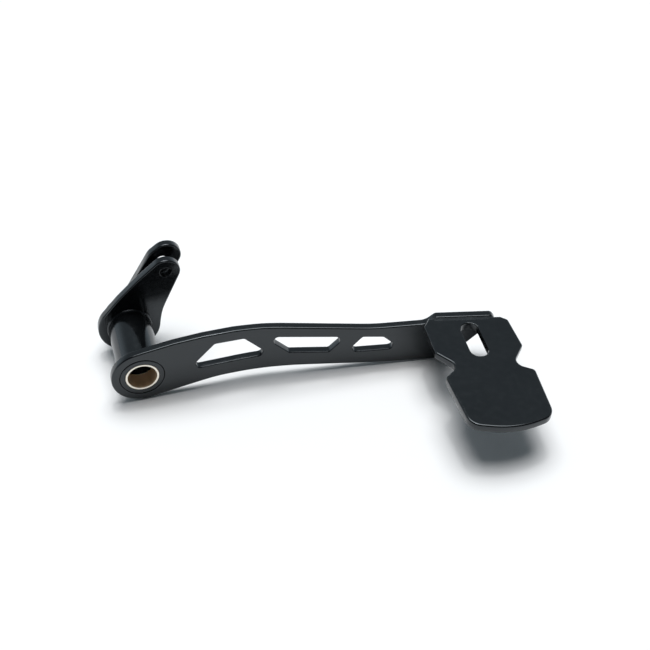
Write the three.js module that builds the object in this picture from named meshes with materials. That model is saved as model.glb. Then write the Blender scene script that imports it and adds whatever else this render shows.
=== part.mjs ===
// Rear brake pedal lever for the right side of a motorcycle, as a welded steel assembly.
//
// Frame, in millimetres: Y is the pivot axis and points inboard, X points forward along the arm
// and Z points up. The origin is on the pivot axis, in the outer face of the arm's hub.
//
// A flat arm with three truss windows is welded to a pivot tube that carries a bronze bushing in
// each end. A plate and an ear on the inboard part of the tube form the clevis that holds the pin
// of the master cylinder rod. The arm folds outboard a little under its first window, and its end
// stands up behind the plate that carries the foot pad's rubber.
import * as THREE from "three";

// Pivot: tube and bushings.
const TUBE_OUTER_DIAMETER = 25.4;
const BUSHING_OUTER_DIAMETER = 19.05;
const BORE_DIAMETER = 16.6;
const BUSHING_LENGTH = 11;
const BUSHING_CHAMFER = 0.4;
const TUBE_CHAMFER = 0.8;

// Every plate is cut from the same sheet, and pieces that touch keep a small fit gap.
const PLATE = 4.8;
const FIT_GAP = 0.3;

// Arm, drawn flat: distance along the arm by height.
const HUB_RADIUS = 17.5;
const TOP_RISE = THREE.MathUtils.degToRad(16);
const BOTTOM_RISE = THREE.MathUtils.degToRad(14.7);
const LAND_HEIGHT = 30.5;
const WINDOW_ACUTE_RADIUS = 3;
const WINDOW_BLUNT_RADIUS = 2;

// The fold is spread over a few lines across the plate, so it reads as one soft bend.
const FOLD_ANGLE = THREE.MathUtils.degToRad(7);
const FOLD_LINES = [57, 62, 67, 72];
const FOLD_STEP = FOLD_ANGLE / FOLD_LINES.length;

// Clevis: the plate stands this far behind the arm's outer face, and the ear follows after the gap.
// The ear's foot overhangs the tube's inboard end, which leaves a corner for its weld.
const CLEVIS_START = 41.8;
const CLEVIS_GAP = 5.7;
const CLEVIS_HUB_RADIUS = 18.1;
const NOSE_RADIUS = 8.5;
const PIN_CENTRE = { x: 20.5, z: 38.8 };
const PIN_DIAMETER = 6.5;
const EAR_NOSE_CENTRE = { x: 22.9, z: 41.6 };
const EAR_NOSE_RADIUS = 8.5;
const EAR_OVERHANG = 2.1;

// Foot pad plate, level, laid out about its own centre line.
const PAD_CENTRE = 182;
const PAD_TOP = 30;
const SLOT_WIDTH = 10.7;
const SLOT_NEAR_ARM = -19.3;
const SLOT_FAR_FROM_ARM = -46.3;

// Weld beads, measured along each leg.
const RING_BEAD_LEG = 2.4;
const SMALL_BEAD_LEG = 1.4;
const PAD_BEAD_LEG = 3.5;

const ROUND_SEGMENTS = 64;
const ARC_STEP = THREE.MathUtils.degToRad(6);
const LEAST_ARC_STEPS = 2;
const SAME_POINT = 1e-6;
const HALF_TURN = Math.PI;
const QUARTER_TURN = Math.PI / 2;

const earStart = CLEVIS_START + PLATE + CLEVIS_GAP;
const tubeLength = earStart + PLATE - EAR_OVERHANG;
const tubeRadius = TUBE_OUTER_DIAMETER / 2;
const boredRadius = tubeRadius + FIT_GAP;

const blackCoat = new THREE.MeshStandardMaterial({ color: 0x16181a, roughness: 0.28, metalness: 0 });
const weldCoat = new THREE.MeshStandardMaterial({ color: 0x1a1c1e, roughness: 0.36, metalness: 0 });
const bronze = new THREE.MeshStandardMaterial({ color: 0xb98d55, roughness: 0.35, metalness: 1 });

// ---- Outlines -------------------------------------------------------------------------------

// One step of an outline is a corner to round, or an arc about a centre.
const corner = (x, y, radius = 0) => ({ point: new THREE.Vector2(x, y), radius });
const arc = (x, y, radius, from, to) => ({ centre: new THREE.Vector2(x, y), radius, from, to });
const entryOf = (step) => step.point ?? pointOnArc(step, step.from);
const exitOf = (step) => step.point ?? pointOnArc(step, step.to);

function pointOnArc(step, angle) {
  return new THREE.Vector2(Math.cos(angle), Math.sin(angle)).multiplyScalar(step.radius).add(step.centre);
}

// Points along an arc, both ends included, close enough together to look round.
function pointsOfArc(step) {
  const turn = step.to - step.from;
  const count = Math.max(LEAST_ARC_STEPS, Math.ceil(Math.abs(turn) / ARC_STEP));
  return Array.from({ length: count + 1 }, (_, i) => pointOnArc(step, step.from + (turn * i) / count));
}

// The arc that rounds a corner, tangent to the sides that arrive there and leave it.
function arcOfCorner(before, step, after) {
  const arriving = step.point.clone().sub(before).normalize();
  const leaving = after.clone().sub(step.point).normalize();
  const turn = Math.atan2(arriving.cross(leaving), arriving.dot(leaving));
  const setback = step.radius * Math.tan(Math.abs(turn) / 2);
  const start = step.point.clone().addScaledVector(arriving, -setback);
  const across = new THREE.Vector2(-arriving.y, arriving.x).multiplyScalar(Math.sign(turn) * step.radius);
  const centre = start.clone().add(across);
  const from = Math.atan2(start.y - centre.y, start.x - centre.x);
  return arc(centre.x, centre.y, step.radius, from, from + turn);
}

// The points of a closed outline with the given steps.
function outlineOf(steps) {
  return steps.flatMap((step, i) => {
    if (step.centre) return pointsOfArc(step);
    if (step.radius === 0) return [step.point];
    const before = exitOf(steps.at(i - 1));
    const after = entryOf(steps[(i + 1) % steps.length]);
    return pointsOfArc(arcOfCorner(before, step, after));
  });
}

const shapeOf = (steps) => new THREE.Shape(outlineOf(steps));
const holeOf = (steps) => new THREE.Path(outlineOf(steps));
const roundHole = (x, y, radius) => new THREE.Path(pointsOfArc(arc(x, y, radius, 0, 2 * HALF_TURN)).slice(1));

// ---- Solids ---------------------------------------------------------------------------------

// A plate that stands across the pivot axis: its outline is drawn in X and Z.
function uprightPlate(shape, start) {
  const plate = new THREE.ExtrudeGeometry(shape, { depth: PLATE, bevelEnabled: false });
  return plate.rotateX(QUARTER_TURN).translate(0, start + PLATE, 0);
}

// A ring about the pivot axis, from a profile of [radius, place along the axis] points.
function pivotRing(profile) {
  const points = [...profile, profile[0]].map(([radius, along]) => new THREE.Vector2(radius, along));
  return new THREE.LatheGeometry(points, ROUND_SEGMENTS);
}

// A straight bar along X, from a cross-section of [y, z] points.
function barAlongX(section, start, end) {
  const shape = new THREE.Shape(section.map(([y, z]) => new THREE.Vector2(y, z)));
  const bar = new THREE.ExtrudeGeometry(shape, { depth: end - start, bevelEnabled: false });
  return bar.rotateY(QUARTER_TURN).rotateX(QUARTER_TURN).translate(start, 0, 0);
}

// ---- The fold -------------------------------------------------------------------------------

// Splits every triangle that crosses a fold line, so that the plate can turn there.
function scoreAcross(triangles, line) {
  const pieces = [];
  for (const triangle of triangles) {
    for (const side of [-1, 1]) {
      const polygon = clippedBy(triangle, line, side);
      for (let i = 2; i < polygon.length; i++) pieces.push([polygon[0], polygon[i - 1], polygon[i]]);
    }
  }
  return pieces;
}

// The part of a polygon on one side of a fold line.
function clippedBy(polygon, line, side) {
  const offset = (p) => side * (p.x - line);
  if (polygon.every((p) => offset(p) < SAME_POINT)) return [];
  const kept = [];
  polygon.forEach((p, i) => {
    const next = polygon[(i + 1) % polygon.length];
    if (offset(p) > -SAME_POINT) kept.push(p);
    const crosses = Math.abs(offset(p)) > SAME_POINT && Math.abs(offset(next)) > SAME_POINT;
    if (crosses && offset(p) * offset(next) < 0) kept.push(crossing(p, next, line));
  });
  return kept;
}

// Where an edge crosses a fold line, worked out the same way for both triangles that share it.
function crossing(a, b, line) {
  const [low, high] = a.x < b.x ? [a, b] : [b, a];
  const point = low.clone().lerp(high, (line - low.x) / (high.x - low.x));
  point.x = line;
  return point;
}

// Moves a point of the flat arm to where the folded arm has it.
function fold(point) {
  const face = new THREE.Vector2(Math.min(point.x, FOLD_LINES[0]), 0);
  let turned = 0;
  let onLine = false;
  FOLD_LINES.forEach((line, i) => {
    if (Math.abs(point.x - line) <= SAME_POINT) onLine = true;
    else if (point.x > line) {
      turned += FOLD_STEP;
      const run = Math.min(point.x, FOLD_LINES[i + 1] ?? Infinity) - line;
      face.x += run * Math.cos(turned);
      face.y -= run * Math.sin(turned);
    }
  });
  const lean = onLine ? turned + FOLD_STEP / 2 : turned;
  const depth = onLine ? point.y / Math.cos(FOLD_STEP / 2) : point.y;
  return new THREE.Vector3(face.x + depth * Math.sin(lean), face.y + depth * Math.cos(lean), point.z);
}

function foldedPlate(flat) {
  const position = (flat.index ? flat.toNonIndexed() : flat).getAttribute("position");
  const vertex = (i) => new THREE.Vector3().fromBufferAttribute(position, i);
  let triangles = [];
  for (let i = 0; i < position.count; i += 3) triangles.push([vertex(i), vertex(i + 1), vertex(i + 2)]);
  for (const line of FOLD_LINES) triangles = scoreAcross(triangles, line);
  return new THREE.BufferGeometry().setFromPoints(triangles.flat().map(fold));
}

// The folded front part of the arm, as a frame of its own: x along the arm, y into the plate.
const lastFold = FOLD_LINES[FOLD_LINES.length - 1];
const foldEnd = fold(new THREE.Vector3(lastFold + 2 * SAME_POINT, 0, 0));
const outerFaceAt = (x) => foldEnd.y - (x - foldEnd.x) * Math.tan(FOLD_ANGLE);
const alongArm = (x) => (x - foldEnd.x) / Math.cos(FOLD_ANGLE);

// ---- Arm ------------------------------------------------------------------------------------

function armOutline() {
  const landStart = 166.4;
  const landEnd = 199;
  return shapeOf([
    arc(0, 0, HUB_RADIUS, QUARTER_TURN + TOP_RISE, 3 * QUARTER_TURN + BOTTOM_RISE),
    corner(42.7, -6.8, 90),
    corner(84, -3.1, 200),
    corner(137, -3.4, 150),
    corner(177.3, -1.5, 6),
    corner(201.8, 26.9, 2),
    corner(landEnd, LAND_HEIGHT, 3),
    corner(landStart, LAND_HEIGHT, 2.5),
    corner(161.2, 25.4, 8),
    corner(131, 23.5, 100),
    corner(78, 26.8, 90),
    corner(33.8, 27.9, 225),
  ]);
}

function armWindows() {
  const [acute, blunt] = [WINDOW_ACUTE_RADIUS, WINDOW_BLUNT_RADIUS];
  return [
    holeOf([
      corner(26.3, 1, acute),
      corner(72.8, 6.3, acute),
      corner(57.5, 19.9, blunt),
      corner(40.8, 18.6, blunt),
    ]),
    holeOf([
      corner(84, 7.2, blunt),
      corner(106.9, 6.6, blunt),
      corner(115.6, 17.6, acute),
      corner(68.8, 19.8, acute),
    ]),
    holeOf([
      corner(117, 5.6, acute),
      corner(148.3, 7.4, acute),
      corner(137.6, 16.6, blunt),
      corner(125.6, 17.2, blunt),
    ]),
  ];
}

function leverArm() {
  const shape = armOutline();
  shape.holes.push(roundHole(0, 0, boredRadius), ...armWindows());
  return foldedPlate(uprightPlate(shape, 0));
}

// ---- Pivot ----------------------------------------------------------------------------------

function pivotTube() {
  const bore = BUSHING_OUTER_DIAMETER / 2 + FIT_GAP;
  return pivotRing([
    [bore, 0],
    [tubeRadius, 0],
    [tubeRadius, tubeLength - TUBE_CHAMFER],
    [tubeRadius - TUBE_CHAMFER, tubeLength],
    [bore, tubeLength],
  ]);
}

function bushing(start) {
  const inner = BORE_DIAMETER / 2;
  const outer = BUSHING_OUTER_DIAMETER / 2;
  const end = start + BUSHING_LENGTH;
  return pivotRing([
    [inner, start + BUSHING_CHAMFER],
    [inner + BUSHING_CHAMFER, start],
    [outer, start],
    [outer, end],
    [inner + BUSHING_CHAMFER, end],
    [inner, end - BUSHING_CHAMFER],
  ]);
}

// The section of a fillet weld on the tube, outboard of the face at the given place.
function beadProfile(face, leg) {
  return [
    [boredRadius, face - FIT_GAP - leg],
    [boredRadius + leg, face - FIT_GAP],
    [boredRadius, face - FIT_GAP],
  ];
}

// The same weld on a face that looks inboard.
function beadProfileInboard(face, leg) {
  return [
    [boredRadius, face + FIT_GAP],
    [boredRadius + leg, face + FIT_GAP],
    [boredRadius, face + FIT_GAP + leg],
  ];
}

// The section of a fillet weld on the tube's inboard end, in the corner under an overhanging foot.
function beadProfileUnderFoot(leg) {
  const outer = boredRadius - FIT_GAP;
  const start = tubeLength + FIT_GAP;
  return [
    [outer - leg, start],
    [outer, start],
    [outer, start + leg],
  ];
}

// ---- Clevis ---------------------------------------------------------------------------------

const pinHole = () => roundHole(PIN_CENTRE.x, PIN_CENTRE.z, PIN_DIAMETER / 2);

// A cam-shaped plate: a ring about the tube that leans forward and up to a nose with the pin hole.
function clevisPlate() {
  const rearSlope = THREE.MathUtils.degToRad(57.5);
  const topSlope = THREE.MathUtils.degToRad(46.5);
  const frontLean = THREE.MathUtils.degToRad(21.5);
  const shape = shapeOf([
    arc(0, 0, CLEVIS_HUB_RADIUS, QUARTER_TURN + rearSlope, 4 * QUARTER_TURN),
    corner(19, 10, 40),
    arc(PIN_CENTRE.x, PIN_CENTRE.z, NOSE_RADIUS, -frontLean, QUARTER_TURN + topSlope),
    corner(3.4, 33.4, 60),
    corner(-6.8, 21.5, 40),
  ]);
  shape.holes.push(roundHole(0, 0, boredRadius), pinHole());
  return uprightPlate(shape, CLEVIS_START);
}

// The second half of the clevis: an ear whose foot is coped to sit on the tube.
const EAR_FOOT_START = THREE.MathUtils.degToRad(99);
const EAR_FOOT_END = THREE.MathUtils.degToRad(10);

function clevisEar() {
  const shoulderSlope = THREE.MathUtils.degToRad(40);
  const frontLean = THREE.MathUtils.degToRad(24);
  const shape = shapeOf([
    arc(0, 0, boredRadius, EAR_FOOT_START, EAR_FOOT_END),
    corner(17.6, 4, 1.5),
    corner(18.2, 10.5, 45),
    arc(EAR_NOSE_CENTRE.x, EAR_NOSE_CENTRE.z, EAR_NOSE_RADIUS, -frontLean, QUARTER_TURN + shoulderSlope),
    corner(12.9, 44.1, 9),
  ]);
  shape.holes.push(pinHole());
  return uprightPlate(shape, earStart);
}

// The weld at the ear's foot goes round only as far as the foot does, and keeps out of the gap.
function earBead() {
  const sweep = EAR_FOOT_START - EAR_FOOT_END;
  const steps = Math.ceil(sweep / ARC_STEP);
  const profile = beadProfileUnderFoot(SMALL_BEAD_LEG);
  const section = profile.map(([radius, along]) => new THREE.Vector2(radius, along));
  const corners = section.length;
  const around = (i) => EAR_FOOT_END + (sweep * i) / steps;
  const place = (p, i) => [p.x * Math.cos(around(i)), p.y, p.x * Math.sin(around(i))];
  const rings = Array.from({ length: steps + 1 }, (_, i) => section.map((p) => place(p, i)));
  const faces = [
    [0, 2, 1],
    [steps * corners, steps * corners + 1, steps * corners + 2],
  ];
  for (let i = 0; i < steps; i++) {
    for (let j = 0; j < corners; j++) {
      const [here, next] = [i * corners + j, i * corners + ((j + 1) % corners)];
      faces.push([here, next, here + corners], [next, next + corners, here + corners]);
    }
  }
  const bead = new THREE.BufferGeometry();
  bead.setAttribute("position", new THREE.Float32BufferAttribute(rings.flat(2), 3));
  return bead.setIndex(faces.flat());
}

// ---- Foot pad plate -------------------------------------------------------------------------

// Each long side is a run of corners: distance from the centre line, place along Y, and radius.
// The right-hand notch lies a little further from the arm than the left-hand one.
function padPlate() {
  const leftSide = [
    [-24.9, -17.4, 2],
    [-25.1, -39.6, 1.5],
    [-15.7, -51.3, 5],
    [-25.3, -58.6, 3],
    [-23.4, -95.2, 9],
  ];
  const rightSide = [
    [24.3, -96.8, 9],
    [25.9, -61.4, 3],
    [15.4, -54.8, 5.5],
    [25.6, -41.6, 1.5],
    [24.5, -20, 3],
  ];
  const chamferStart = 20.8;
  const armEdge = (x) => corner(x, outerFaceAt(x) - FIT_GAP);
  const place = ([out, y, radius]) => corner(PAD_CENTRE + out, y, radius);
  const shape = shapeOf([
    armEdge(PAD_CENTRE - chamferStart),
    ...leftSide.map(place),
    corner(PAD_CENTRE + 1, -102.9, 48),
    ...rightSide.map(place),
    armEdge(PAD_CENTRE + chamferStart),
  ]);
  const slotRadius = SLOT_WIDTH / 2;
  shape.holes.push(
    holeOf([
      arc(PAD_CENTRE, SLOT_NEAR_ARM - slotRadius, slotRadius, 0, HALF_TURN),
      arc(PAD_CENTRE, SLOT_FAR_FROM_ARM + slotRadius, slotRadius, HALF_TURN, 2 * HALF_TURN),
    ]),
  );
  const plate = new THREE.ExtrudeGeometry(shape, { depth: PLATE, bevelEnabled: false });
  return plate.translate(0, 0, PAD_TOP - PLATE);
}

// ---- Assembly -------------------------------------------------------------------------------

const pedal = new THREE.Group();
pedal.name = "brake_pedal_lever";

function addPiece(group, name, geometry, material) {
  const piece = new THREE.Mesh(geometry, material);
  piece.name = name;
  group.add(piece);
}

addPiece(pedal, "lever_arm", leverArm(), blackCoat);
addPiece(pedal, "pivot_tube", pivotTube(), blackCoat);
addPiece(pedal, "outer_bushing", bushing(0), bronze);
addPiece(pedal, "inner_bushing", bushing(tubeLength - BUSHING_LENGTH), bronze);
addPiece(pedal, "clevis_plate", clevisPlate(), blackCoat);
addPiece(pedal, "clevis_ear", clevisEar(), blackCoat);
addPiece(pedal, "pad_plate", padPlate(), blackCoat);
addPiece(pedal, "arm_to_tube_weld", pivotRing(beadProfileInboard(PLATE, RING_BEAD_LEG)), weldCoat);
addPiece(pedal, "clevis_plate_weld", pivotRing(beadProfile(CLEVIS_START, SMALL_BEAD_LEG)), weldCoat);
addPiece(pedal, "clevis_ear_weld", earBead(), weldCoat);

// The weld under the pad plate lies in the folded front part of the arm.
const frontPart = new THREE.Group();
frontPart.position.set(foldEnd.x, foldEnd.y, 0);
frontPart.rotation.z = -FOLD_ANGLE;
const beadTop = PAD_TOP - PLATE - FIT_GAP;
const underBead = barAlongX(
  [
    [-FIT_GAP, beadTop],
    [-FIT_GAP - PAD_BEAD_LEG, beadTop],
    [-FIT_GAP, beadTop - PAD_BEAD_LEG],
  ],
  alongArm(164),
  alongArm(196),
);
addPiece(frontPart, "pad_under_weld", underBead, weldCoat);
pedal.add(frontPart);

export default pedal;
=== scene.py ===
"""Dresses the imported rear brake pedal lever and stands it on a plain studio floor.

Every length in an outline is in millimetres, and becomes metres when its mesh is made. The frame
is the model's own: X runs forward along the arm, Y inboard along the pivot axis and Z up.
"""
import logging
import math
from dataclasses import dataclass, field
from enum import Enum
from typing import Callable, Sequence

import bmesh
import bpy
from mathutils import Matrix, Vector


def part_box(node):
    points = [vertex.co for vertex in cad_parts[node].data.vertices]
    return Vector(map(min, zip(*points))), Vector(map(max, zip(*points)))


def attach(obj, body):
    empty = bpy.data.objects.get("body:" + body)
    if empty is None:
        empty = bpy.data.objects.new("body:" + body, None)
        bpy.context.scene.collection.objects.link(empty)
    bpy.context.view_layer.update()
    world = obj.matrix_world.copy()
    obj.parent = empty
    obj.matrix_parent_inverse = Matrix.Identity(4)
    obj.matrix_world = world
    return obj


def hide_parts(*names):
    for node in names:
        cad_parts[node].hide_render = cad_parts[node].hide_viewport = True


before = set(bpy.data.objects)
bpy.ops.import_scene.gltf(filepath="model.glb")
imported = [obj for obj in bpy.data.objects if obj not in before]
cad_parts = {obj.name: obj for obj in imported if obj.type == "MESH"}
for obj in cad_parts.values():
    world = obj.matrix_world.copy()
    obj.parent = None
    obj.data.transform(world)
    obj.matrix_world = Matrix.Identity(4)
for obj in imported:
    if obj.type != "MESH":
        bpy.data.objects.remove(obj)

log = logging.getLogger("brake_pedal")

MM = 0.001
BODY = "root"
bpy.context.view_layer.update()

Pair = tuple[float, float]
Colour = tuple[float, float, float]


def box_mm(node: str) -> tuple[Vector, Vector]:
    """Reads a CAD node's box in millimetres.

    Args:
        node: name of the CAD node.

    Returns:
        The lowest and the highest corner.
    """
    low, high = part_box(node)
    return Vector(low) / MM, Vector(high) / MM


# ---- Outlines -------------------------------------------------------------------------------


@dataclass(frozen=True)
class Arc:
    """A round stretch of an outline, from one angle to another about a centre.

    Attributes:
        centre: centre of the arc.
        radius: its radius.
        start: angle of its first point, in radians.
        end: angle of its last point; a lower angle than start runs clockwise.
    """

    centre: Pair
    radius: float
    start: float
    end: float

    STEP = math.radians(5)

    def at(self, angle: float) -> Vector:
        """Finds a point of the circle.

        Args:
            angle: its angle about the centre, in radians.

        Returns:
            The point.
        """
        return Vector(self.centre) + self.radius * Vector((math.cos(angle), math.sin(angle)))

    def entry(self) -> Vector:
        """Finds where the outline joins the arc.

        Returns:
            The first point.
        """
        return self.at(self.start)

    def exit(self) -> Vector:
        """Finds where the outline leaves the arc.

        Returns:
            The last point.
        """
        return self.at(self.end)

    def points(self, before: Vector, after: Vector) -> list[Vector]:
        """Samples the arc.

        Args:
            before: the point ahead of the arc, which an arc doesn't need.
            after: the point behind the arc, which an arc doesn't need.

        Returns:
            Its points, both ends included.
        """
        turn = self.end - self.start
        count = max(3, math.ceil(abs(turn) / self.STEP))
        return [self.at(self.start + turn * i / count) for i in range(count + 1)]


@dataclass(frozen=True)
class Corner:
    """A corner of an outline, rounded by an arc that is tangent to both of its sides.

    Attributes:
        point: where the two straight sides would meet.
        radius: radius of the rounding, or 0 for a sharp corner.
    """

    point: Pair
    radius: float = 0.0

    def entry(self) -> Vector:
        """Finds the place that a side before the corner aims for.

        Returns:
            The corner.
        """
        return Vector(self.point)

    def exit(self) -> Vector:
        """Finds the place that a side after the corner comes from.

        Returns:
            The corner.
        """
        return Vector(self.point)

    def points(self, before: Vector, after: Vector) -> list[Vector]:
        """Samples the rounded corner.

        Args:
            before: the point that the arriving side comes from.
            after: the point that the leaving side goes to.

        Returns:
            The points of the rounding, in order.
        """
        tip = Vector(self.point)
        if self.radius == 0:
            return [tip]
        arriving = (tip - before).normalized()
        leaving = (after - tip).normalized()
        turn = math.atan2(arriving.x * leaving.y - arriving.y * leaving.x, arriving.dot(leaving))
        start = tip - arriving * self.radius * math.tan(abs(turn) / 2)
        across = Vector((-arriving.y, arriving.x)) * math.copysign(self.radius, turn)
        centre = start + across
        angle = math.atan2(-across.y, -across.x)
        return Arc((centre.x, centre.y), self.radius, angle, angle + turn).points(before, after)


Step = Arc | Corner


def trace(steps: Sequence[Step]) -> list[Vector]:
    """Traces a closed outline.

    Args:
        steps: its corners and arcs, in order.

    Returns:
        The points of the outline, with no point twice.
    """
    points: list[Vector] = []
    for i, step in enumerate(steps):
        before = steps[i - 1].exit()
        after = steps[(i + 1) % len(steps)].entry()
        points += step.points(before, after)
    same = 1e-4
    return [p for i, p in enumerate(points) if (p - points[i - 1]).length > same]


def circle(x: float, y: float, radius: float) -> list[Vector]:
    """Traces a whole circle.

    Args:
        x: first coordinate of the centre.
        y: second coordinate of the centre.
        radius: radius of the circle.

    Returns:
        Its points, counter-clockwise.
    """
    return trace([Arc((x, y), radius, 0, math.tau)])


# ---- Meshes ---------------------------------------------------------------------------------


class Facing(Enum):
    """The ways that a plate's outline lies in the frame."""

    UPRIGHT = "X and Z, with the thickness along Y"
    LEVEL = "X and Y, with the thickness along Z"

    def place(self, point: Vector, depth: float) -> Vector:
        """Puts an outline's point into the frame.

        Args:
            point: point of the outline.
            depth: distance through the plate.

        Returns:
            The point in space.
        """
        if self is Facing.UPRIGHT:
            return Vector((point.x, depth, point.y))
        return Vector((point.x, point.y, depth))


@dataclass
class Edge:
    """One closed edge of a plate, with the radius that its two rims are rounded to.

    Attributes:
        points: points of the edge, in either direction.
        rim: radius of the rounding.
        hole: whether the edge goes round a hole.
    """

    points: list[Vector]
    rim: float
    hole: bool = False

    SHOULDER = 0.25

    def __post_init__(self) -> None:
        """Turns the edge so that the metal is on its left."""
        following = self.points[1:] + self.points[:1]
        area = sum(a.x * b.y - b.x * a.y for a, b in zip(self.points, following))
        if (area < 0) != self.hole:
            self.points = self.points[::-1]

    def inset(self, distance: float) -> list[Vector]:
        """Moves the edge into the metal.

        Args:
            distance: how far it moves.

        Returns:
            The moved points.
        """
        moved = []
        for i, point in enumerate(self.points):
            back = (point - self.points[i - 1]).normalized()
            ahead = (self.points[(i + 1) % len(self.points)] - point).normalized()
            inward = Vector((-back.y - ahead.y, back.x + ahead.x)).normalized()
            stretch = 1 / max(0.3, inward.dot(Vector((-back.y, back.x))))
            moved.append(point + inward * distance * stretch)
        return moved

    def profile(self, thickness: float, steps: int = 6) -> list[Pair]:
        """Lists how the edge goes from the plate's first face to its second.

        Args:
            thickness: thickness of the plate.
            steps: flats on each rounded rim.

        Returns:
            Pairs of distance into the metal and depth through the plate.
        """
        turns = [math.pi / 2 * k / steps for k in range(steps + 1)]
        rim = [(self.rim * (1 - math.sin(a)), self.rim * (1 - math.cos(a))) for a in turns]
        first = [(self.rim + self.SHOULDER, 0.0), *rim]
        return first + [(inset, thickness - depth) for inset, depth in reversed(first)]


@dataclass
class Plate:
    """A flat plate with rounded rims, as a mesh.

    Attributes:
        edges: the outer edge first, then the edges of the holes.
        thickness: thickness of the plate.
        start: depth of its first face.
        facing: the way its outline lies.
        cuts: places along X where the faces are divided, so that the plate can bend.
    """

    edges: list[Edge]
    thickness: float
    start: float = 0.0
    facing: Facing = Facing.UPRIGHT
    cuts: Sequence[float] = ()

    def mesh(self) -> bmesh.types.BMesh:
        """Builds the plate.

        Returns:
            The mesh, in millimetres.
        """
        mesh = bmesh.new()
        caps: tuple[list, list] = ([], [])
        for edge in self.edges:
            rings = []
            for inset, depth in edge.profile(self.thickness):
                spots = [self.facing.place(p, self.start + depth) for p in edge.inset(inset)]
                rings.append([mesh.verts.new(spot) for spot in spots])
            skin(mesh, rings)
            for cap, ring in zip(caps, (rings[0], rings[-1])):
                cap += [mesh.edges.get((ring[i - 1], ring[i])) for i in range(len(ring))]
        for cap in caps:
            bmesh.ops.triangle_fill(mesh, use_beauty=True, use_dissolve=False, edges=cap)
        for cut in self.cuts:
            geometry = [*mesh.verts, *mesh.edges, *mesh.faces]
            at, across = Vector((cut, 0, 0)), Vector((1, 0, 0))
            bmesh.ops.bisect_plane(mesh, geom=geometry, dist=1e-5, plane_co=at, plane_no=across)
        bmesh.ops.recalc_face_normals(mesh, faces=mesh.faces)
        return mesh


def skin(mesh: bmesh.types.BMesh, rings: Sequence[Sequence], closed: bool = False) -> None:
    """Joins closed rings of points with faces.

    Args:
        mesh: the mesh that holds the points.
        rings: rings with the same number of points each.
        closed: whether the last ring joins the first again.
    """
    following = list(rings[1:]) + ([rings[0]] if closed else [])
    for ring, after in zip(rings, following):
        for i in range(len(ring)):
            mesh.faces.new((ring[i - 1], ring[i], after[i], after[i - 1]))


@dataclass
class Turned:
    """A ring turned about the pivot axis, as a mesh.

    Attributes:
        profile: corners of the section, as pairs of radius and place along the axis.
        sides: steps round the axis.
        swell: how much further out the surface stands at an angle, for a rippled bead.
        start: angle where the ring begins.
        sweep: angle that it covers.
    """

    profile: Sequence[Step]
    sides: int = 128
    swell: Callable[[float], float] = staticmethod(lambda angle: 0.0)
    start: float = 0.0
    sweep: float = math.tau

    def mesh(self) -> bmesh.types.BMesh:
        """Builds the ring.

        Returns:
            The mesh, in millimetres.
        """
        mesh = bmesh.new()
        whole = self.sweep >= math.tau
        section = trace(self.profile)
        middle = sum(section, Vector((0, 0))) / len(section)
        rings = []
        for i in range(self.sides if whole else self.sides + 1):
            angle = self.start + self.sweep * i / self.sides
            size = 1 + self.swell(angle)
            spots = [middle + (p - middle) * size for p in section]
            around = (math.cos(angle), math.sin(angle))
            rings.append([mesh.verts.new((p.x * around[0], p.y, p.x * around[1])) for p in spots])
        skin(mesh, rings, closed=whole)
        if not whole:
            mesh.faces.new(rings[0])
            mesh.faces.new(rings[-1])
        bmesh.ops.recalc_face_normals(mesh, faces=mesh.faces)
        return mesh


def install(
    mesh: bmesh.types.BMesh,
    name: str,
    node: str | None,
    finish: bpy.types.Material,
) -> bpy.types.Object:
    """Turns a mesh in millimetres into a piece of the model.

    Args:
        mesh: the mesh, which is used up.
        name: name of the piece.
        node: CAD node that the piece stands for, if any.
        finish: material of the piece.

    Returns:
        The new object.
    """
    bmesh.ops.scale(mesh, vec=Vector((MM, MM, MM)), verts=mesh.verts)
    data = bpy.data.meshes.new(name)
    mesh.to_mesh(data)
    mesh.free()
    data.polygons.foreach_set("use_smooth", [True] * len(data.polygons))
    data.materials.append(finish)
    piece = bpy.data.objects.new(name, data)
    bpy.context.scene.collection.objects.link(piece)
    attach(piece, BODY)
    if node:
        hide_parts(node)
    log.info("%s: %d faces", name, len(data.polygons))
    return piece


# ---- Finishes -------------------------------------------------------------------------------


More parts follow.
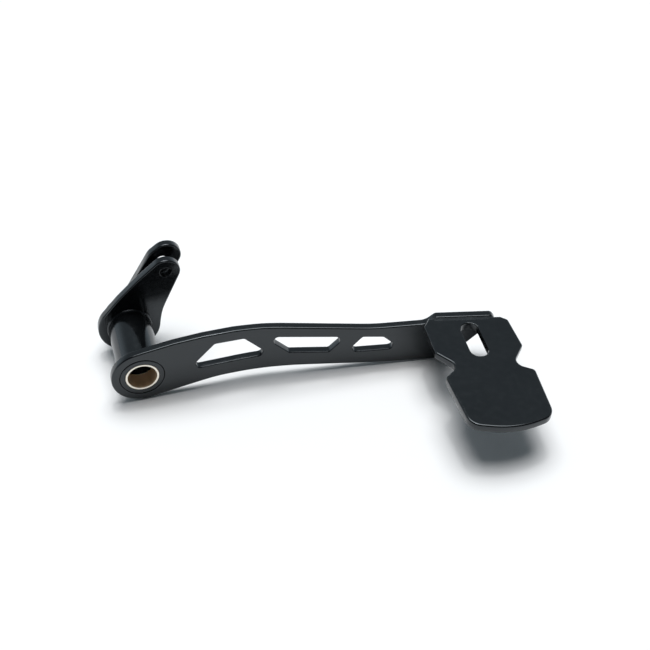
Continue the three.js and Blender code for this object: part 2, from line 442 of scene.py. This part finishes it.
class Wiring:
    """The node tree of one material, with short ways to add and join nodes."""

    def __init__(self, name: str) -> None:
        """Makes an empty material with a shader and an output.

        Args:
            name: name of the material.
        """
        self.material = bpy.data.materials.new(name)
        self.material.use_nodes = True
        self.tree = self.material.node_tree
        self.tree.nodes.clear()
        self.shader = self.add("ShaderNodeBsdfPrincipled")
        output = self.add("ShaderNodeOutputMaterial")
        self.join(self.shader, "BSDF", output, "Surface")
        self.place = self.add("ShaderNodeTexCoord")

    def add(self, kind: str, **settings: object) -> bpy.types.Node:
        """Adds a node.

        Args:
            kind: Blender's name for the node.
            **settings: properties of the node.

        Returns:
            The new node.
        """
        node = self.tree.nodes.new(kind)
        for key, value in settings.items():
            setattr(node, key, value)
        return node

    def join(self, source: bpy.types.Node, output: str, target: bpy.types.Node, socket: str) -> None:
        """Joins one node's output to another's input.

        Args:
            source: node that gives the value.
            output: name of its output.
            target: node that takes it.
            socket: name of its input.
        """
        self.tree.links.new(source.outputs[output], target.inputs[socket])

    def noise(self, scale: float, detail: float = 2.0, roughness: float = 0.5) -> bpy.types.Node:
        """Adds a noise in the object's own metres.

        Args:
            scale: grains per metre.
            detail: finer layers on top of the first.
            roughness: weight of those layers.

        Returns:
            The noise node.
        """
        node = self.add("ShaderNodeTexNoise")
        node.inputs["Scale"].default_value = scale
        node.inputs["Detail"].default_value = detail
        node.inputs["Roughness"].default_value = roughness
        self.join(self.place, "Object", node, "Vector")
        return node

    def ramp(self, source: bpy.types.Node, output: str, low: Pair, high: Pair) -> bpy.types.Node:
        """Maps a value from one range to another.

        Args:
            source: node that gives the value.
            output: name of its output.
            low: the value's lower limit, and what it becomes.
            high: the value's upper limit, and what it becomes.

        Returns:
            The mapping node.
        """
        node = self.add("ShaderNodeMapRange")
        node.inputs["From Min"].default_value = low[0]
        node.inputs["From Max"].default_value = high[0]
        node.inputs["To Min"].default_value = low[1]
        node.inputs["To Max"].default_value = high[1]
        self.join(source, output, node, "Value")
        return node

    def blend(self, factor: bpy.types.Node, output: str, low: Colour, high: Colour) -> bpy.types.Node:
        """Mixes two colours.

        Args:
            factor: node that gives the share of the second colour.
            output: name of its output.
            low: colour at 0.
            high: colour at 1.

        Returns:
            The mixing node.
        """
        node = self.add("ShaderNodeMix", data_type="RGBA")
        node.inputs[6].default_value = (*low, 1)
        node.inputs[7].default_value = (*high, 1)
        self.tree.links.new(factor.outputs[output], node.inputs[0])
        self.tree.links.new(node.outputs[2], self.shader.inputs["Base Color"])
        return node

    def emboss(self, layers: Sequence[tuple[bpy.types.Node, str, float]]) -> None:
        """Raises the surface by several height patterns, one on top of the other.

        Args:
            layers: node, output name and height in metres of each pattern.
        """
        below = None
        for source, output, height in layers:
            bump = self.add("ShaderNodeBump")
            bump.inputs["Distance"].default_value = height
            self.join(source, output, bump, "Height")
            if below:
                self.join(below, "Normal", bump, "Normal")
            below = bump
        self.join(below, "Normal", self.shader, "Normal")


@dataclass(frozen=True)
class PowderCoat:
    """Gloss black powder coat: a flowed surface with a slight orange peel and a few fine specks.

    Attributes:
        name: name of the material.
        thick: colour of the full coat.
        thin: colour where the coat is thinner.
        gloss: lowest and highest roughness.
        peel: height of the orange peel, in metres.
        sheen: tint of what the coat mirrors.
        specular: how strongly it mirrors.
        cloud_grain: grains per metre of the coat's thickness.
        haze_grain: grains per metre of its gloss.
        peel_grain: grains per metre of the orange peel.
        flow_grain: grains per metre of the flowed surface.
        speck_grain: grains per metre of the specks.
        speck: height of the specks, in metres.
    """

    name: str
    thick: Colour = (0.0022, 0.0026, 0.0031)
    thin: Colour = (0.0036, 0.0042, 0.0048)
    gloss: Pair = (0.11, 0.19)
    peel: float = 0.000007
    sheen: Colour = (0.86, 0.94, 1.0)
    specular: float = 0.58
    cloud_grain: float = 60
    haze_grain: float = 240
    peel_grain: float = 850
    flow_grain: float = 210
    speck_grain: float = 5200
    speck: float = 0.000004

    def material(self) -> bpy.types.Material:
        """Builds the material.

        Returns:
            The material.
        """
        wiring = Wiring(self.name)
        cloud = wiring.noise(self.cloud_grain, detail=3)
        wiring.blend(wiring.ramp(cloud, "Fac", (0.35, 0), (0.7, 1)), "Result", self.thick, self.thin)
        haze = wiring.noise(self.haze_grain, detail=4, roughness=0.6)
        rough = wiring.ramp(haze, "Fac", (0.3, self.gloss[0]), (0.7, self.gloss[1]))
        wiring.join(rough, "Result", wiring.shader, "Roughness")
        orange_peel = wiring.noise(self.peel_grain, detail=1)
        flow = wiring.noise(self.flow_grain, detail=1)
        grit = wiring.noise(self.speck_grain, detail=1)
        speck = wiring.ramp(grit, "Fac", (0.72, 0), (0.80, 1))
        wiring.emboss([
            (flow, "Fac", 2 * self.peel),
            (orange_peel, "Fac", self.peel),
            (speck, "Result", self.speck),
        ])
        wiring.shader.inputs["Specular IOR Level"].default_value = self.specular
        wiring.shader.inputs["Specular Tint"].default_value = (*self.sheen, 1)
        return wiring.material


@dataclass(frozen=True)
class BearingBronze:
    """Bearing bronze, with paler end faces and a browner bore as painted light and shade, and pores all
    over.

    Attributes:
        name: name of the material.
        bright: colour of the end faces, lightened as a painted reflection of the bright floor.
        shaded_bore: colour of the bore, browned as painted shade inside it.
        face_and_bore_metal: how metallic the bore and the end faces look.
        pore: share of the colour that is left in a pore.
        pitch: distance between turning marks, in metres.
        wobble: how uneven the marks are.
        mark: height of the marks, in metres.
        pit: depth of the pores, in metres.
        gloss: lowest and highest roughness.
        pore_grain: grains per metre of the pores.
        stain_grain: grains per metre of the oil stains.
    """

    name: str
    bright: Colour = (0.93, 0.88, 0.78)
    shaded_bore: Colour = (0.78, 0.60, 0.41)
    face_and_bore_metal: Pair = (0.55, 1.0)
    pore: float = 0.55
    pitch: float = 0.00022
    wobble: float = 0.4
    mark: float = 0.000006
    pit: float = 0.000008
    gloss: Pair = (0.30, 0.46)
    pore_grain: float = 2600
    stain_grain: float = 420

    WAVE_RATE = 20

    def material(self) -> bpy.types.Material:
        """Builds the material.

        Returns:
            The material.
        """
        wiring = Wiring(self.name)
        pores = wiring.noise(self.pore_grain, detail=3, roughness=0.7)
        pitted = wiring.ramp(pores, "Fac", (0.62, 1), (0.78, self.pore))
        # Painted light and shade: surfaces facing along the axis take the pale colour as a painted floor
        # reflection, and the bore takes the browner colour as painted shade.
        facing = wiring.add("ShaderNodeSeparateXYZ")
        wiring.join(wiring.place, "Normal", facing, "Vector")
        along = wiring.add("ShaderNodeMath", operation="ABSOLUTE")
        wiring.tree.links.new(facing.outputs["Y"], along.inputs[0])
        face = wiring.ramp(along, "Value", (0.5, 0), (0.9, 1))
        share = wiring.add("ShaderNodeMath", operation="MULTIPLY")
        wiring.tree.links.new(face.outputs["Result"], share.inputs[0])
        wiring.tree.links.new(pitted.outputs["Result"], share.inputs[1])
        wiring.blend(share, "Value", self.shaded_bore, self.bright)
        stains = wiring.noise(self.stain_grain, detail=4)
        rough = wiring.ramp(stains, "Fac", (0.3, self.gloss[0]), (0.7, self.gloss[1]))
        wiring.join(rough, "Result", wiring.shader, "Roughness")
        rings = wiring.add("ShaderNodeTexWave", wave_type="RINGS", rings_direction="Y")
        rings.inputs["Scale"].default_value = 1 / (self.WAVE_RATE * self.pitch) * math.tau
        rings.inputs["Distortion"].default_value = self.wobble
        wiring.join(wiring.place, "Object", rings, "Vector")
        wiring.emboss([(rings, "Fac", self.mark), (pores, "Fac", self.pit)])
        metal = wiring.ramp(along, "Value", (0.5, self.face_and_bore_metal[0]), (0.9, self.face_and_bore_metal[1]))
        wiring.join(metal, "Result", wiring.shader, "Metallic")
        return wiring.material


@dataclass(frozen=True)
class StudioFloor:
    """A matt white studio floor.

    Attributes:
        name: name of the material.
        colour: colour of the floor.
    """

    name: str = "studio_floor"
    colour: Colour = (0.92, 0.925, 0.93)

    def material(self) -> bpy.types.Material:
        """Builds the material.

        Returns:
            The material.
        """
        wiring = Wiring(self.name)
        wiring.shader.inputs["Base Color"].default_value = (*self.colour, 1)
        wiring.shader.inputs["Roughness"].default_value = 0.9
        wiring.shader.inputs["Specular IOR Level"].default_value = 0.1
        return wiring.material


# ---- Sub-assemblies -------------------------------------------------------------------------


@dataclass
class Pivot:
    """The pivot tube and the bronze bushing in each of its ends."""

    coat: bpy.types.Material
    bronze: bpy.types.Material
    bore: float = 8.3
    seam: float = 0.15
    rim: float = 0.7
    bushing_rim: float = 0.15

    def __post_init__(self) -> None:
        """Reads the tube's and the bushings' sizes from the frame."""
        low, high = box_mm("pivot_tube")
        self.radius = high.x
        self.near, self.far = low.y, high.y
        low, high = box_mm("outer_bushing")
        self.seat = high.x + self.seam
        self.bushing_radius = high.x

    def tube(self) -> None:
        """Builds the tube, with an eased rim at each end."""
        profile = [
            Corner((self.seat, self.near), 0.3),
            Corner((self.radius - 0.05, self.near), self.rim),
            Corner((self.radius - 0.05, self.far), self.rim),
            Corner((self.seat, self.far), 0.3),
        ]
        install(Turned(profile).mesh(), "pivot_tube_coated", "pivot_tube", self.coat)

    def bushing(self, node: str) -> None:
        """Builds one bushing.

        Args:
            node: the CAD bushing that it stands for.
        """
        low, high = box_mm(node)
        profile = [
            Corner((self.bore, low.y), 2 * self.bushing_rim),
            Corner((self.bushing_radius, low.y), self.bushing_rim),
            Corner((self.bushing_radius, high.y), self.bushing_rim),
            Corner((self.bore, high.y), 2 * self.bushing_rim),
        ]
        install(Turned(profile).mesh(), node + "_turned", node, self.bronze)

    def build(self) -> None:
        """Builds the tube and both bushings."""
        self.tube()
        self.bushing("outer_bushing")
        self.bushing("inner_bushing")


@dataclass
class Fold:
    """The soft bend in the arm, spread evenly along a short stretch of it.

    Attributes:
        start: where the bend begins, along the flat arm.
        end: where it ends.
        angle: how far the arm turns outboard.
    """

    start: float = 54.5
    end: float = 74.5
    angle: float = math.radians(7)

    @property
    def radius(self) -> float:
        """Works out the radius of the bend.

        Returns:
            The radius.
        """
        return (self.end - self.start) / self.angle

    def cuts(self, count: int = 9) -> list[float]:
        """Lists where the faces are divided for the bend.

        Args:
            count: number of divisions.

        Returns:
            Their places along the flat arm.
        """
        return [self.start + (self.end - self.start) * i / (count - 1) for i in range(count)]

    def bend(self, point: Vector) -> Vector:
        """Moves a point of the flat arm to its place on the folded arm.

        Args:
            point: place in the flat arm, with the depth as y.

        Returns:
            The place in the frame.
        """
        turned = self.angle * min(1.0, max(0.0, (point.x - self.start) / (self.end - self.start)))
        straight = max(0.0, point.x - self.end)
        x = min(point.x, self.start) + self.radius * math.sin(turned) + straight * math.cos(turned)
        y = -self.radius * (1 - math.cos(turned)) - straight * math.sin(turned)
        return Vector((x + point.y * math.sin(turned), y + point.y * math.cos(turned), point.z))


@dataclass
class LeverArm:
    """The flat arm: a round hub, three truss windows and a land that stands behind the pad plate."""

    coat: bpy.types.Material
    fold: Fold = field(default_factory=Fold)
    rim: float = 0.85
    window_rim: float = 0.6
    hub_radius: float = 17.5
    top_rise: float = math.radians(16)
    bottom_rise: float = math.radians(14.7)
    acute: float = 3.0
    blunt: float = 2.0
    thickness: float = 4.8
    seat_gap: float = 0.05
    seat_rim: float = 0.6

    def __post_init__(self) -> None:
        """Reads the land's height and the tube's size from the frame."""
        self.land = box_mm("lever_arm")[1].z
        self.tube_radius = box_mm("pivot_tube")[1].x

    def outline(self) -> list[Vector]:
        """Traces the arm, laid out flat.

        Returns:
            The points of the outline.
        """
        quarter = math.pi / 2
        return trace([
            Arc((0, 0), self.hub_radius, quarter + self.top_rise, 3 * quarter + self.bottom_rise),
            Corner((42.7, -6.8), 90),
            Corner((84, -3.1), 200),
            Corner((137, -3.4), 150),
            Corner((177.3, -1.5), 6),
            Corner((201.8, 26.9), 2),
            Corner((199, self.land), 3),
            Corner((166.4, self.land), 2.5),
            Corner((161.2, 25.4), 8),
            Corner((131, 23.5), 100),
            Corner((78, 26.8), 90),
            Corner((33.8, 27.9), 225),
        ])

    def windows(self) -> list[list[Vector]]:
        """Traces the three windows.

        Returns:
            The points of each window.
        """
        acute, blunt = self.acute, self.blunt
        rear = [((26.3, 1), acute), ((72.8, 6.3), acute), ((57.5, 19.9), blunt), ((40.8, 18.6), blunt)]
        middle = [((84, 7.2), blunt), ((106.9, 6.6), blunt), ((115.6, 17.6), acute), ((68.8, 19.8), acute)]
        front = [((117, 5.6), acute), ((148.3, 7.4), acute), ((137.6, 16.6), blunt), ((125.6, 17.2), blunt)]
        return [trace([Corner(*corner) for corner in window]) for window in (rear, middle, front)]

    def build(self) -> None:
        """Builds the arm, folded."""
        edges = [Edge(self.outline(), self.rim)]
        edges.append(Edge(circle(0, 0, self.tube_radius + self.seat_gap), self.seat_rim, hole=True))
        edges += [Edge(window, self.window_rim, hole=True) for window in self.windows()]
        mesh = Plate(edges, self.thickness, cuts=self.fold.cuts()).mesh()
        for vert in mesh.verts:
            vert.co = self.fold.bend(vert.co)
        install(mesh, "lever_arm_coated", "lever_arm", self.coat)


@dataclass
class Clevis:
    """The cam-shaped plate and the ear that hold the pin of the master cylinder rod."""

    coat: bpy.types.Material
    rim: float = 0.85
    pin: Pair = (20.5, 38.8)
    pin_radius: float = 3.25
    pin_rim: float = 0.45
    hub_radius: float = 18.1
    nose_radius: float = 8.5
    ear_nose: Pair = (22.9, 41.6)
    ear_nose_radius: float = 8.5
    seat_gap: float = 0.02
    seat_rim: float = 0.2
    foot_start: float = math.radians(99)
    foot_end: float = math.radians(10)

    def __post_init__(self) -> None:
        """Reads the tube's size from the frame."""
        self.tube_radius = box_mm("pivot_tube")[1].x

    def pin_edge(self) -> Edge:
        """Builds the edge of the pin hole.

        Returns:
            The edge.
        """
        return Edge(circle(*self.pin, self.pin_radius), self.pin_rim, hole=True)

    def plate(self) -> None:
        """Builds the plate that goes round the tube."""
        low, high = box_mm("clevis_plate")
        quarter = math.pi / 2
        lean, slope = math.radians(21.5), math.radians(46.5)
        outline = trace([
            Arc((0, 0), self.hub_radius, quarter + math.radians(57.5), 4 * quarter),
            Corner((19, 10), 40),
            Arc(self.pin, self.nose_radius, -lean, quarter + slope),
            Corner((3.4, 33.4), 60),
            Corner((-6.8, 21.5), 40),
        ])
        hub = Edge(circle(0, 0, self.tube_radius + self.seat_gap), self.seat_rim, hole=True)
        edges = [Edge(outline, self.rim), hub, self.pin_edge()]
        mesh = Plate(edges, high.y - low.y, low.y).mesh()
        install(mesh, "clevis_plate_coated", "clevis_plate", self.coat)

    def ear(self) -> None:
        """Builds the ear, whose foot is coped to the tube."""
        low, high = box_mm("clevis_ear")
        lean, shoulder = math.radians(24), math.radians(40)
        outline = trace([
            Arc((0, 0), self.tube_radius + self.seat_gap, self.foot_start, self.foot_end),
            Corner((17.6, 4), 1.5),
            Corner((18.2, 10.5), 45),
            Arc(self.ear_nose, self.ear_nose_radius, -lean, math.pi / 2 + shoulder),
            Corner((12.9, 44.1), 9),
        ])
        edges = [Edge(outline, self.rim), self.pin_edge()]
        mesh = Plate(edges, high.y - low.y, low.y).mesh()
        install(mesh, "clevis_ear_coated", "clevis_ear", self.coat)

    def build(self) -> None:
        """Builds the plate and the ear."""
        self.plate()
        self.ear()


@dataclass
class PadPlate:
    """The level foot plate, with a notch in each long side and a slot for the pad's stud."""

    coat: bpy.types.Material
    fold: Fold = field(default_factory=Fold)
    centre: float = 182.0
    rim: float = 1.0
    slot_rim: float = 0.5
    slot_width: float = 10.7
    slot_ends: Pair = (-19.3, -46.3)
    arm_run: float = 20.8

    def outline(self) -> list[Vector]:
        """Traces the plate, whose right-hand notch lies a little further from the arm.

        Returns:
            The points of the outline.
        """
        left = [
            (-24.9, -17.4, 2),
            (-25.1, -39.6, 1.5),
            (-15.7, -51.3, 5),
            (-25.3, -58.6, 3),
            (-23.4, -95.2, 9),
        ]
        right = [
            (24.3, -96.8, 9),
            (25.9, -61.4, 3),
            (15.4, -54.8, 5.5),
            (25.6, -41.6, 1.5),
            (24.5, -20, 3),
        ]
        end = (1, -102.9, 48)
        steps = [Corner((self.centre + out, y), radius) for out, y, radius in (*left, end, *right)]
        return trace([self.arm_corner(-self.arm_run), *steps, self.arm_corner(self.arm_run)])

    def arm_corner(self, out: float) -> Corner:
        """Returns the corner where the plate meets the arm's outer face.

        Args:
            out: distance from the plate's centre line.

        Returns:
            The corner.
        """
        bend = self.fold.bend(Vector((self.fold.end, 0, 0)))
        x = self.centre + out
        return Corner((x, bend.y - (x - bend.x) * math.tan(self.fold.angle)))

    def slot(self) -> list[Vector]:
        """Traces the slot.

        Returns:
            The points of the slot.
        """
        radius = self.slot_width / 2
        near, far = self.slot_ends
        return trace([
            Arc((self.centre, near - radius), radius, 0, math.pi),
            Arc((self.centre, far + radius), radius, math.pi, math.tau),
        ])

    def build(self) -> None:
        """Builds the plate."""
        low, high = box_mm("pad_plate")
        edges = [Edge(self.outline(), self.rim), Edge(self.slot(), self.slot_rim, hole=True)]
        mesh = Plate(edges, high.z - low.z, low.z, Facing.LEVEL).mesh()
        install(mesh, "pad_plate_coated", "pad_plate", self.coat)


@dataclass
class Welds:
    """The fillet welds: round the tube, under the clevis ear's foot and along the pad plate."""

    coat: bpy.types.Material
    fold: Fold = field(default_factory=Fold)
    ripple: float = 0.05
    pitch: float = 1.9
    sway: float = 0.05
    taper: float = 2.5
    dressed_width: float = 3.4
    run_start: float = 164
    under_end: float = 196
    over_end: float = 199

    RINGS = 160

    def __post_init__(self) -> None:
        """Reads the tube's size from the frame."""
        self.tube_radius = box_mm("pivot_tube")[1].x

    def rippled(self, angle: float) -> float:
        """Works out how much a bead swells.

        Args:
            angle: place round the tube, in radians.

        Returns:
            The swelling.
        """
        ripples = round(math.tau * self.tube_radius / self.pitch)
        return self.ripple * abs(math.sin(ripples * angle / 2)) + self.sway * math.sin(3 * angle + 1)

    def ring(self, node: str, leg: float, face: float, toward: int) -> None:
        """Builds a bead that goes right round the tube.

        Args:
            node: the CAD bead that it stands for.
            leg: how far the bead reaches along the tube and along the plate.
            face: place of the plate's face.
            toward: 1 for a bead inboard of the face, or -1 for one outboard of it.
        """
        root = self.tube_radius - 0.4
        section = [
            Corner((root, face - toward * 0.3)),
            Corner((root + leg + 0.4, face - toward * 0.3), 0.25),
            Corner((root + leg * 0.85, face + toward * leg * 0.62), 1.0),
            Corner((root, face + toward * (leg + 0.4)), 0.2),
        ]
        mesh = Turned(section, sides=256, swell=self.rippled).mesh()
        install(mesh, node + "_bead", node, self.coat)

    def ear_foot(self, leg: float) -> None:
        """Builds the bead in the corner of the tube's inboard end and the foot that overhangs it.

        Args:
            leg: how far the bead reaches across the tube's end and along the foot.
        """
        end_face = box_mm("pivot_tube")[1].y
        foot = self.tube_radius + 0.3
        section = [
            Corner((foot, end_face - 0.4)),
            Corner((self.tube_radius - leg, end_face - 0.4), 0.2),
            Corner((self.tube_radius - leg * 0.6, end_face + leg * 0.6), 0.8),
            Corner((foot, end_face + leg), 0.2),
        ]
        start, end = math.radians(11), math.radians(98)
        bead = Turned(section, 72, self.rippled, start, end - start)
        install(bead.mesh(), "clevis_ear_weld_bead", "clevis_ear_weld", self.coat)

    def straight(
        self,
        section: Sequence[Step],
        start: float,
        end: float,
        ripple: float,
    ) -> bmesh.types.BMesh:
        """Builds a bead along the folded arm.

        Args:
            section: corners of the section, as depth into the arm and height.
            start: where the bead begins, along the flat arm.
            end: where it ends.
            ripple: how much the bead swells between its low spots, as a share of its size.

        Returns:
            The mesh, in millimetres.
        """
        mesh = bmesh.new()
        points = trace(section)
        middle = sum(points, Vector((0, 0))) / len(points)
        count, taper = self.RINGS, self.taper
        rings = []
        for i in range(count + 1):
            along = start + (end - start) * i / count
            ease = min(1.0, (along - start) / taper + 0.02, (end - along) / taper + 0.02)
            size = math.sqrt(ease * (2 - ease)) * (1 + ripple * abs(math.sin(math.pi * along / self.pitch)))
            spots = [middle + (p - middle) * size for p in points]
            rings.append([mesh.verts.new(self.fold.bend(Vector((along, p.x, p.y)))) for p in spots])
        skin(mesh, rings)
        mesh.faces.new(rings[0])
        mesh.faces.new(rings[-1])
        bmesh.ops.recalc_face_normals(mesh, faces=mesh.faces)
        return mesh

    def under_pad(self, leg: float) -> None:
        """Builds the bead in the corner under the pad plate.

        Args:
            leg: how far the bead reaches along the plate and down the arm.
        """
        top = box_mm("pad_plate")[0].z
        section = [
            Corner((0.4, top + 0.4)),
            Corner((-leg, top + 0.4), 0.3),
            Corner((-leg * 0.6, top - leg * 0.6), 1.2),
            Corner((0.4, top - leg), 0.3),
        ]
        mesh = self.straight(section, self.run_start, self.under_end, self.ripple)
        install(mesh, "pad_under_weld_bead", "pad_under_weld", self.coat)

    def over_pad(self) -> None:
        """Builds the weld that was dressed flush over the joint of arm and pad plate."""
        top = box_mm("pad_plate")[1].z
        side = self.dressed_width
        section = [
            Corner((side, top - 1.2)),
            Corner((side, top - 0.05), 0.2),
            Corner((0, top + 0.10), 30),
            Corner((-side, top - 0.05), 0.2),
            Corner((-side, top - 1.2)),
        ]
        mesh = self.straight(section, self.run_start, self.over_end, 0)
        install(mesh, "pad_top_weld_dressed", None, self.coat)

    def build(self) -> None:
        """Builds every bead."""
        arm_back = box_mm("arm_to_tube_weld")[0].y - 0.3
        self.ring("arm_to_tube_weld", 2.4, arm_back, 1)
        self.ring("clevis_plate_weld", 0.95, box_mm("clevis_plate")[0].y, -1)
        self.ear_foot(1.4)
        self.under_pad(3.5)
        self.over_pad()


# ---- Studio ---------------------------------------------------------------------------------


@dataclass
class Studio:
    """The floor that the lever lies on, the soft light and the camera.

    Attributes:
        hub_radius: radius of the round hub that the lever lies on.
        floor_size: length of the floor's sides, in metres.
        spot: place of the camera, in metres.
        heading: the camera's heading from +Y toward +X, in degrees.
        down: how far it looks down, in degrees.
        roll: how far it is turned about its own axis, in degrees.
        lens: focal length on a 36 mm sensor.
        softbox: strength of the wide overhead light, and how wide it looks in degrees.
        strip: the same for the narrow light in it, which draws the bright lines on the rims.
        key_turn: turn of both lights about X, Y and Z, in degrees.
        back_wall: brightness of the room behind the lever, high up.
        horizon: its brightness low down.
        front_wall: brightness of the room on the camera's side.
        wall_colour: colour of the room.
        gap: distance between the lever and the floor, in millimetres.
    """

    hub_radius: float = 18.1
    floor_size: float = 12.0
    spot: tuple[float, float, float] = (-0.1112, -0.6245, 0.6335)
    heading: float = 19.03
    down: float = 42.73
    roll: float = 6.20
    lens: float = 88.0
    softbox: Pair = (2.7, 46.0)
    strip: Pair = (0.35, 7.0)
    key_turn: tuple[float, float, float] = (-12.0, -1.0, 0.0)
    back_wall: float = 0.37
    horizon: float = 0.9
    front_wall: float = 0.03
    wall_colour: Colour = (0.80, 0.92, 1.0)
    gap: float = 0.1

    def rest_angle(self) -> float:
        """Works out how far the lever tips forward when its hub and its arm lie on a table.

        Returns:
            The angle of the floor about the pivot axis.
        """
        arm = bpy.data.objects["lever_arm_coated"].data
        contacts = [v.co / MM for v in arm.vertices if v.co.x / MM > 3 * self.hub_radius]
        reach = [math.hypot(p.x, p.z) for p in contacts]
        angles = [math.asin(self.hub_radius / r) + math.atan2(p.z, p.x) for p, r in zip(contacts, reach)]
        return min(angles)

    def floor(self) -> None:
        """Lays the floor against the hub and the front of the arm."""
        mesh = bmesh.new()
        bmesh.ops.create_grid(mesh, x_segments=8, y_segments=8, size=self.floor_size / 2)
        data = bpy.data.meshes.new("floor")
        mesh.to_mesh(data)
        mesh.free()
        data.materials.append(StudioFloor().material())
        floor = bpy.data.objects.new("floor", data)
        bpy.context.scene.collection.objects.link(floor)
        down = Matrix.Translation((0, 0, -(self.hub_radius + self.gap) * MM))
        floor.matrix_world = Matrix.Rotation(-self.rest_angle(), 4, "Y") @ down

    def light(self, name: str, energy: float, width: float) -> None:
        """Hangs a light over the lever, a little behind it.

        Args:
            name: name of the light.
            energy: its strength.
            width: how wide it looks, in degrees.
        """
        data = bpy.data.lights.new(name, "SUN")
        data.energy = energy
        data.angle = math.radians(width)
        lamp = bpy.data.objects.new(name, data)
        lamp.rotation_euler = [math.radians(turn) for turn in self.key_turn]
        bpy.context.scene.collection.objects.link(lamp)

    def room(self) -> None:
        """Fills in from a room with a pale back wall and a dark front."""
        world = bpy.data.worlds.new("room")
        world.use_nodes = True
        tree = world.node_tree
        wall = tree.nodes["Background"]
        wall.inputs["Color"].default_value = (*self.wall_colour, 1)
        place = tree.nodes.new("ShaderNodeTexCoord")
        toward = tree.nodes.new("ShaderNodeSeparateXYZ")
        tree.links.new(place.outputs["Generated"], toward.inputs["Vector"])

        def fade(axis: str, low: Pair, high: Pair) -> bpy.types.Node:
            """Maps one part of a direction to a brightness.

            Args:
                axis: the part of the direction.
                low: its lower limit, and the brightness there.
                high: its upper limit, and the brightness there.

            Returns:
                The mapping node.
            """
            node = tree.nodes.new("ShaderNodeMapRange")
            node.interpolation_type = "SMOOTHSTEP"
            node.inputs["From Min"].default_value, node.inputs["To Min"].default_value = low
            node.inputs["From Max"].default_value, node.inputs["To Max"].default_value = high
            tree.links.new(toward.outputs[axis], node.inputs["Value"])
            return node

        behind = fade("Y", (-0.15, self.front_wall / self.back_wall), (0.3, 1))
        height = fade("Z", (0.1, self.horizon), (0.55, self.back_wall))
        strength = tree.nodes.new("ShaderNodeMath")
        strength.operation = "MULTIPLY"
        tree.links.new(behind.outputs["Result"], strength.inputs[0])
        tree.links.new(height.outputs["Result"], strength.inputs[1])
        tree.links.new(strength.outputs["Value"], wall.inputs["Strength"])
        bpy.context.scene.world = world

    def camera(self) -> None:
        """Sets up the camera."""
        data = bpy.data.cameras.new("camera")
        data.lens = self.lens
        data.sensor_width = 36
        data.clip_start = 0.05
        data.clip_end = 50
        camera = bpy.data.objects.new("camera", data)
        aim = Matrix.Rotation(math.radians(-self.heading), 4, "Z")
        tilt = Matrix.Rotation(math.radians(90 - self.down), 4, "X")
        roll = Matrix.Rotation(math.radians(self.roll), 4, "Z")
        camera.matrix_world = Matrix.Translation(self.spot) @ aim @ tilt @ roll
        bpy.context.scene.collection.objects.link(camera)
        bpy.context.scene.camera = camera

    def build(self) -> None:
        """Builds the floor, the light and the camera."""
        self.floor()
        self.light("softbox", *self.softbox)
        self.light("strip", *self.strip)
        self.room()
        self.camera()


def main() -> None:
    """Builds the lever's sub-assemblies in order, then the studio."""
    logging.basicConfig(level=logging.INFO, format="%(name)s: %(message)s")
    scene = bpy.context.scene
    scene.view_settings.view_transform = "Standard"
    coat = PowderCoat("black_powder_coat").material()
    weld_coat = PowderCoat("weld_powder_coat", gloss=(0.2, 0.3), peel=0.000016).material()
    bronze = BearingBronze("bearing_bronze").material()
    LeverArm(coat).build()
    Pivot(coat, bronze).build()
    Clevis(coat).build()
    PadPlate(coat).build()
    Welds(weld_coat).build()
    Studio().build()


if __name__ == "__main__":
    main()
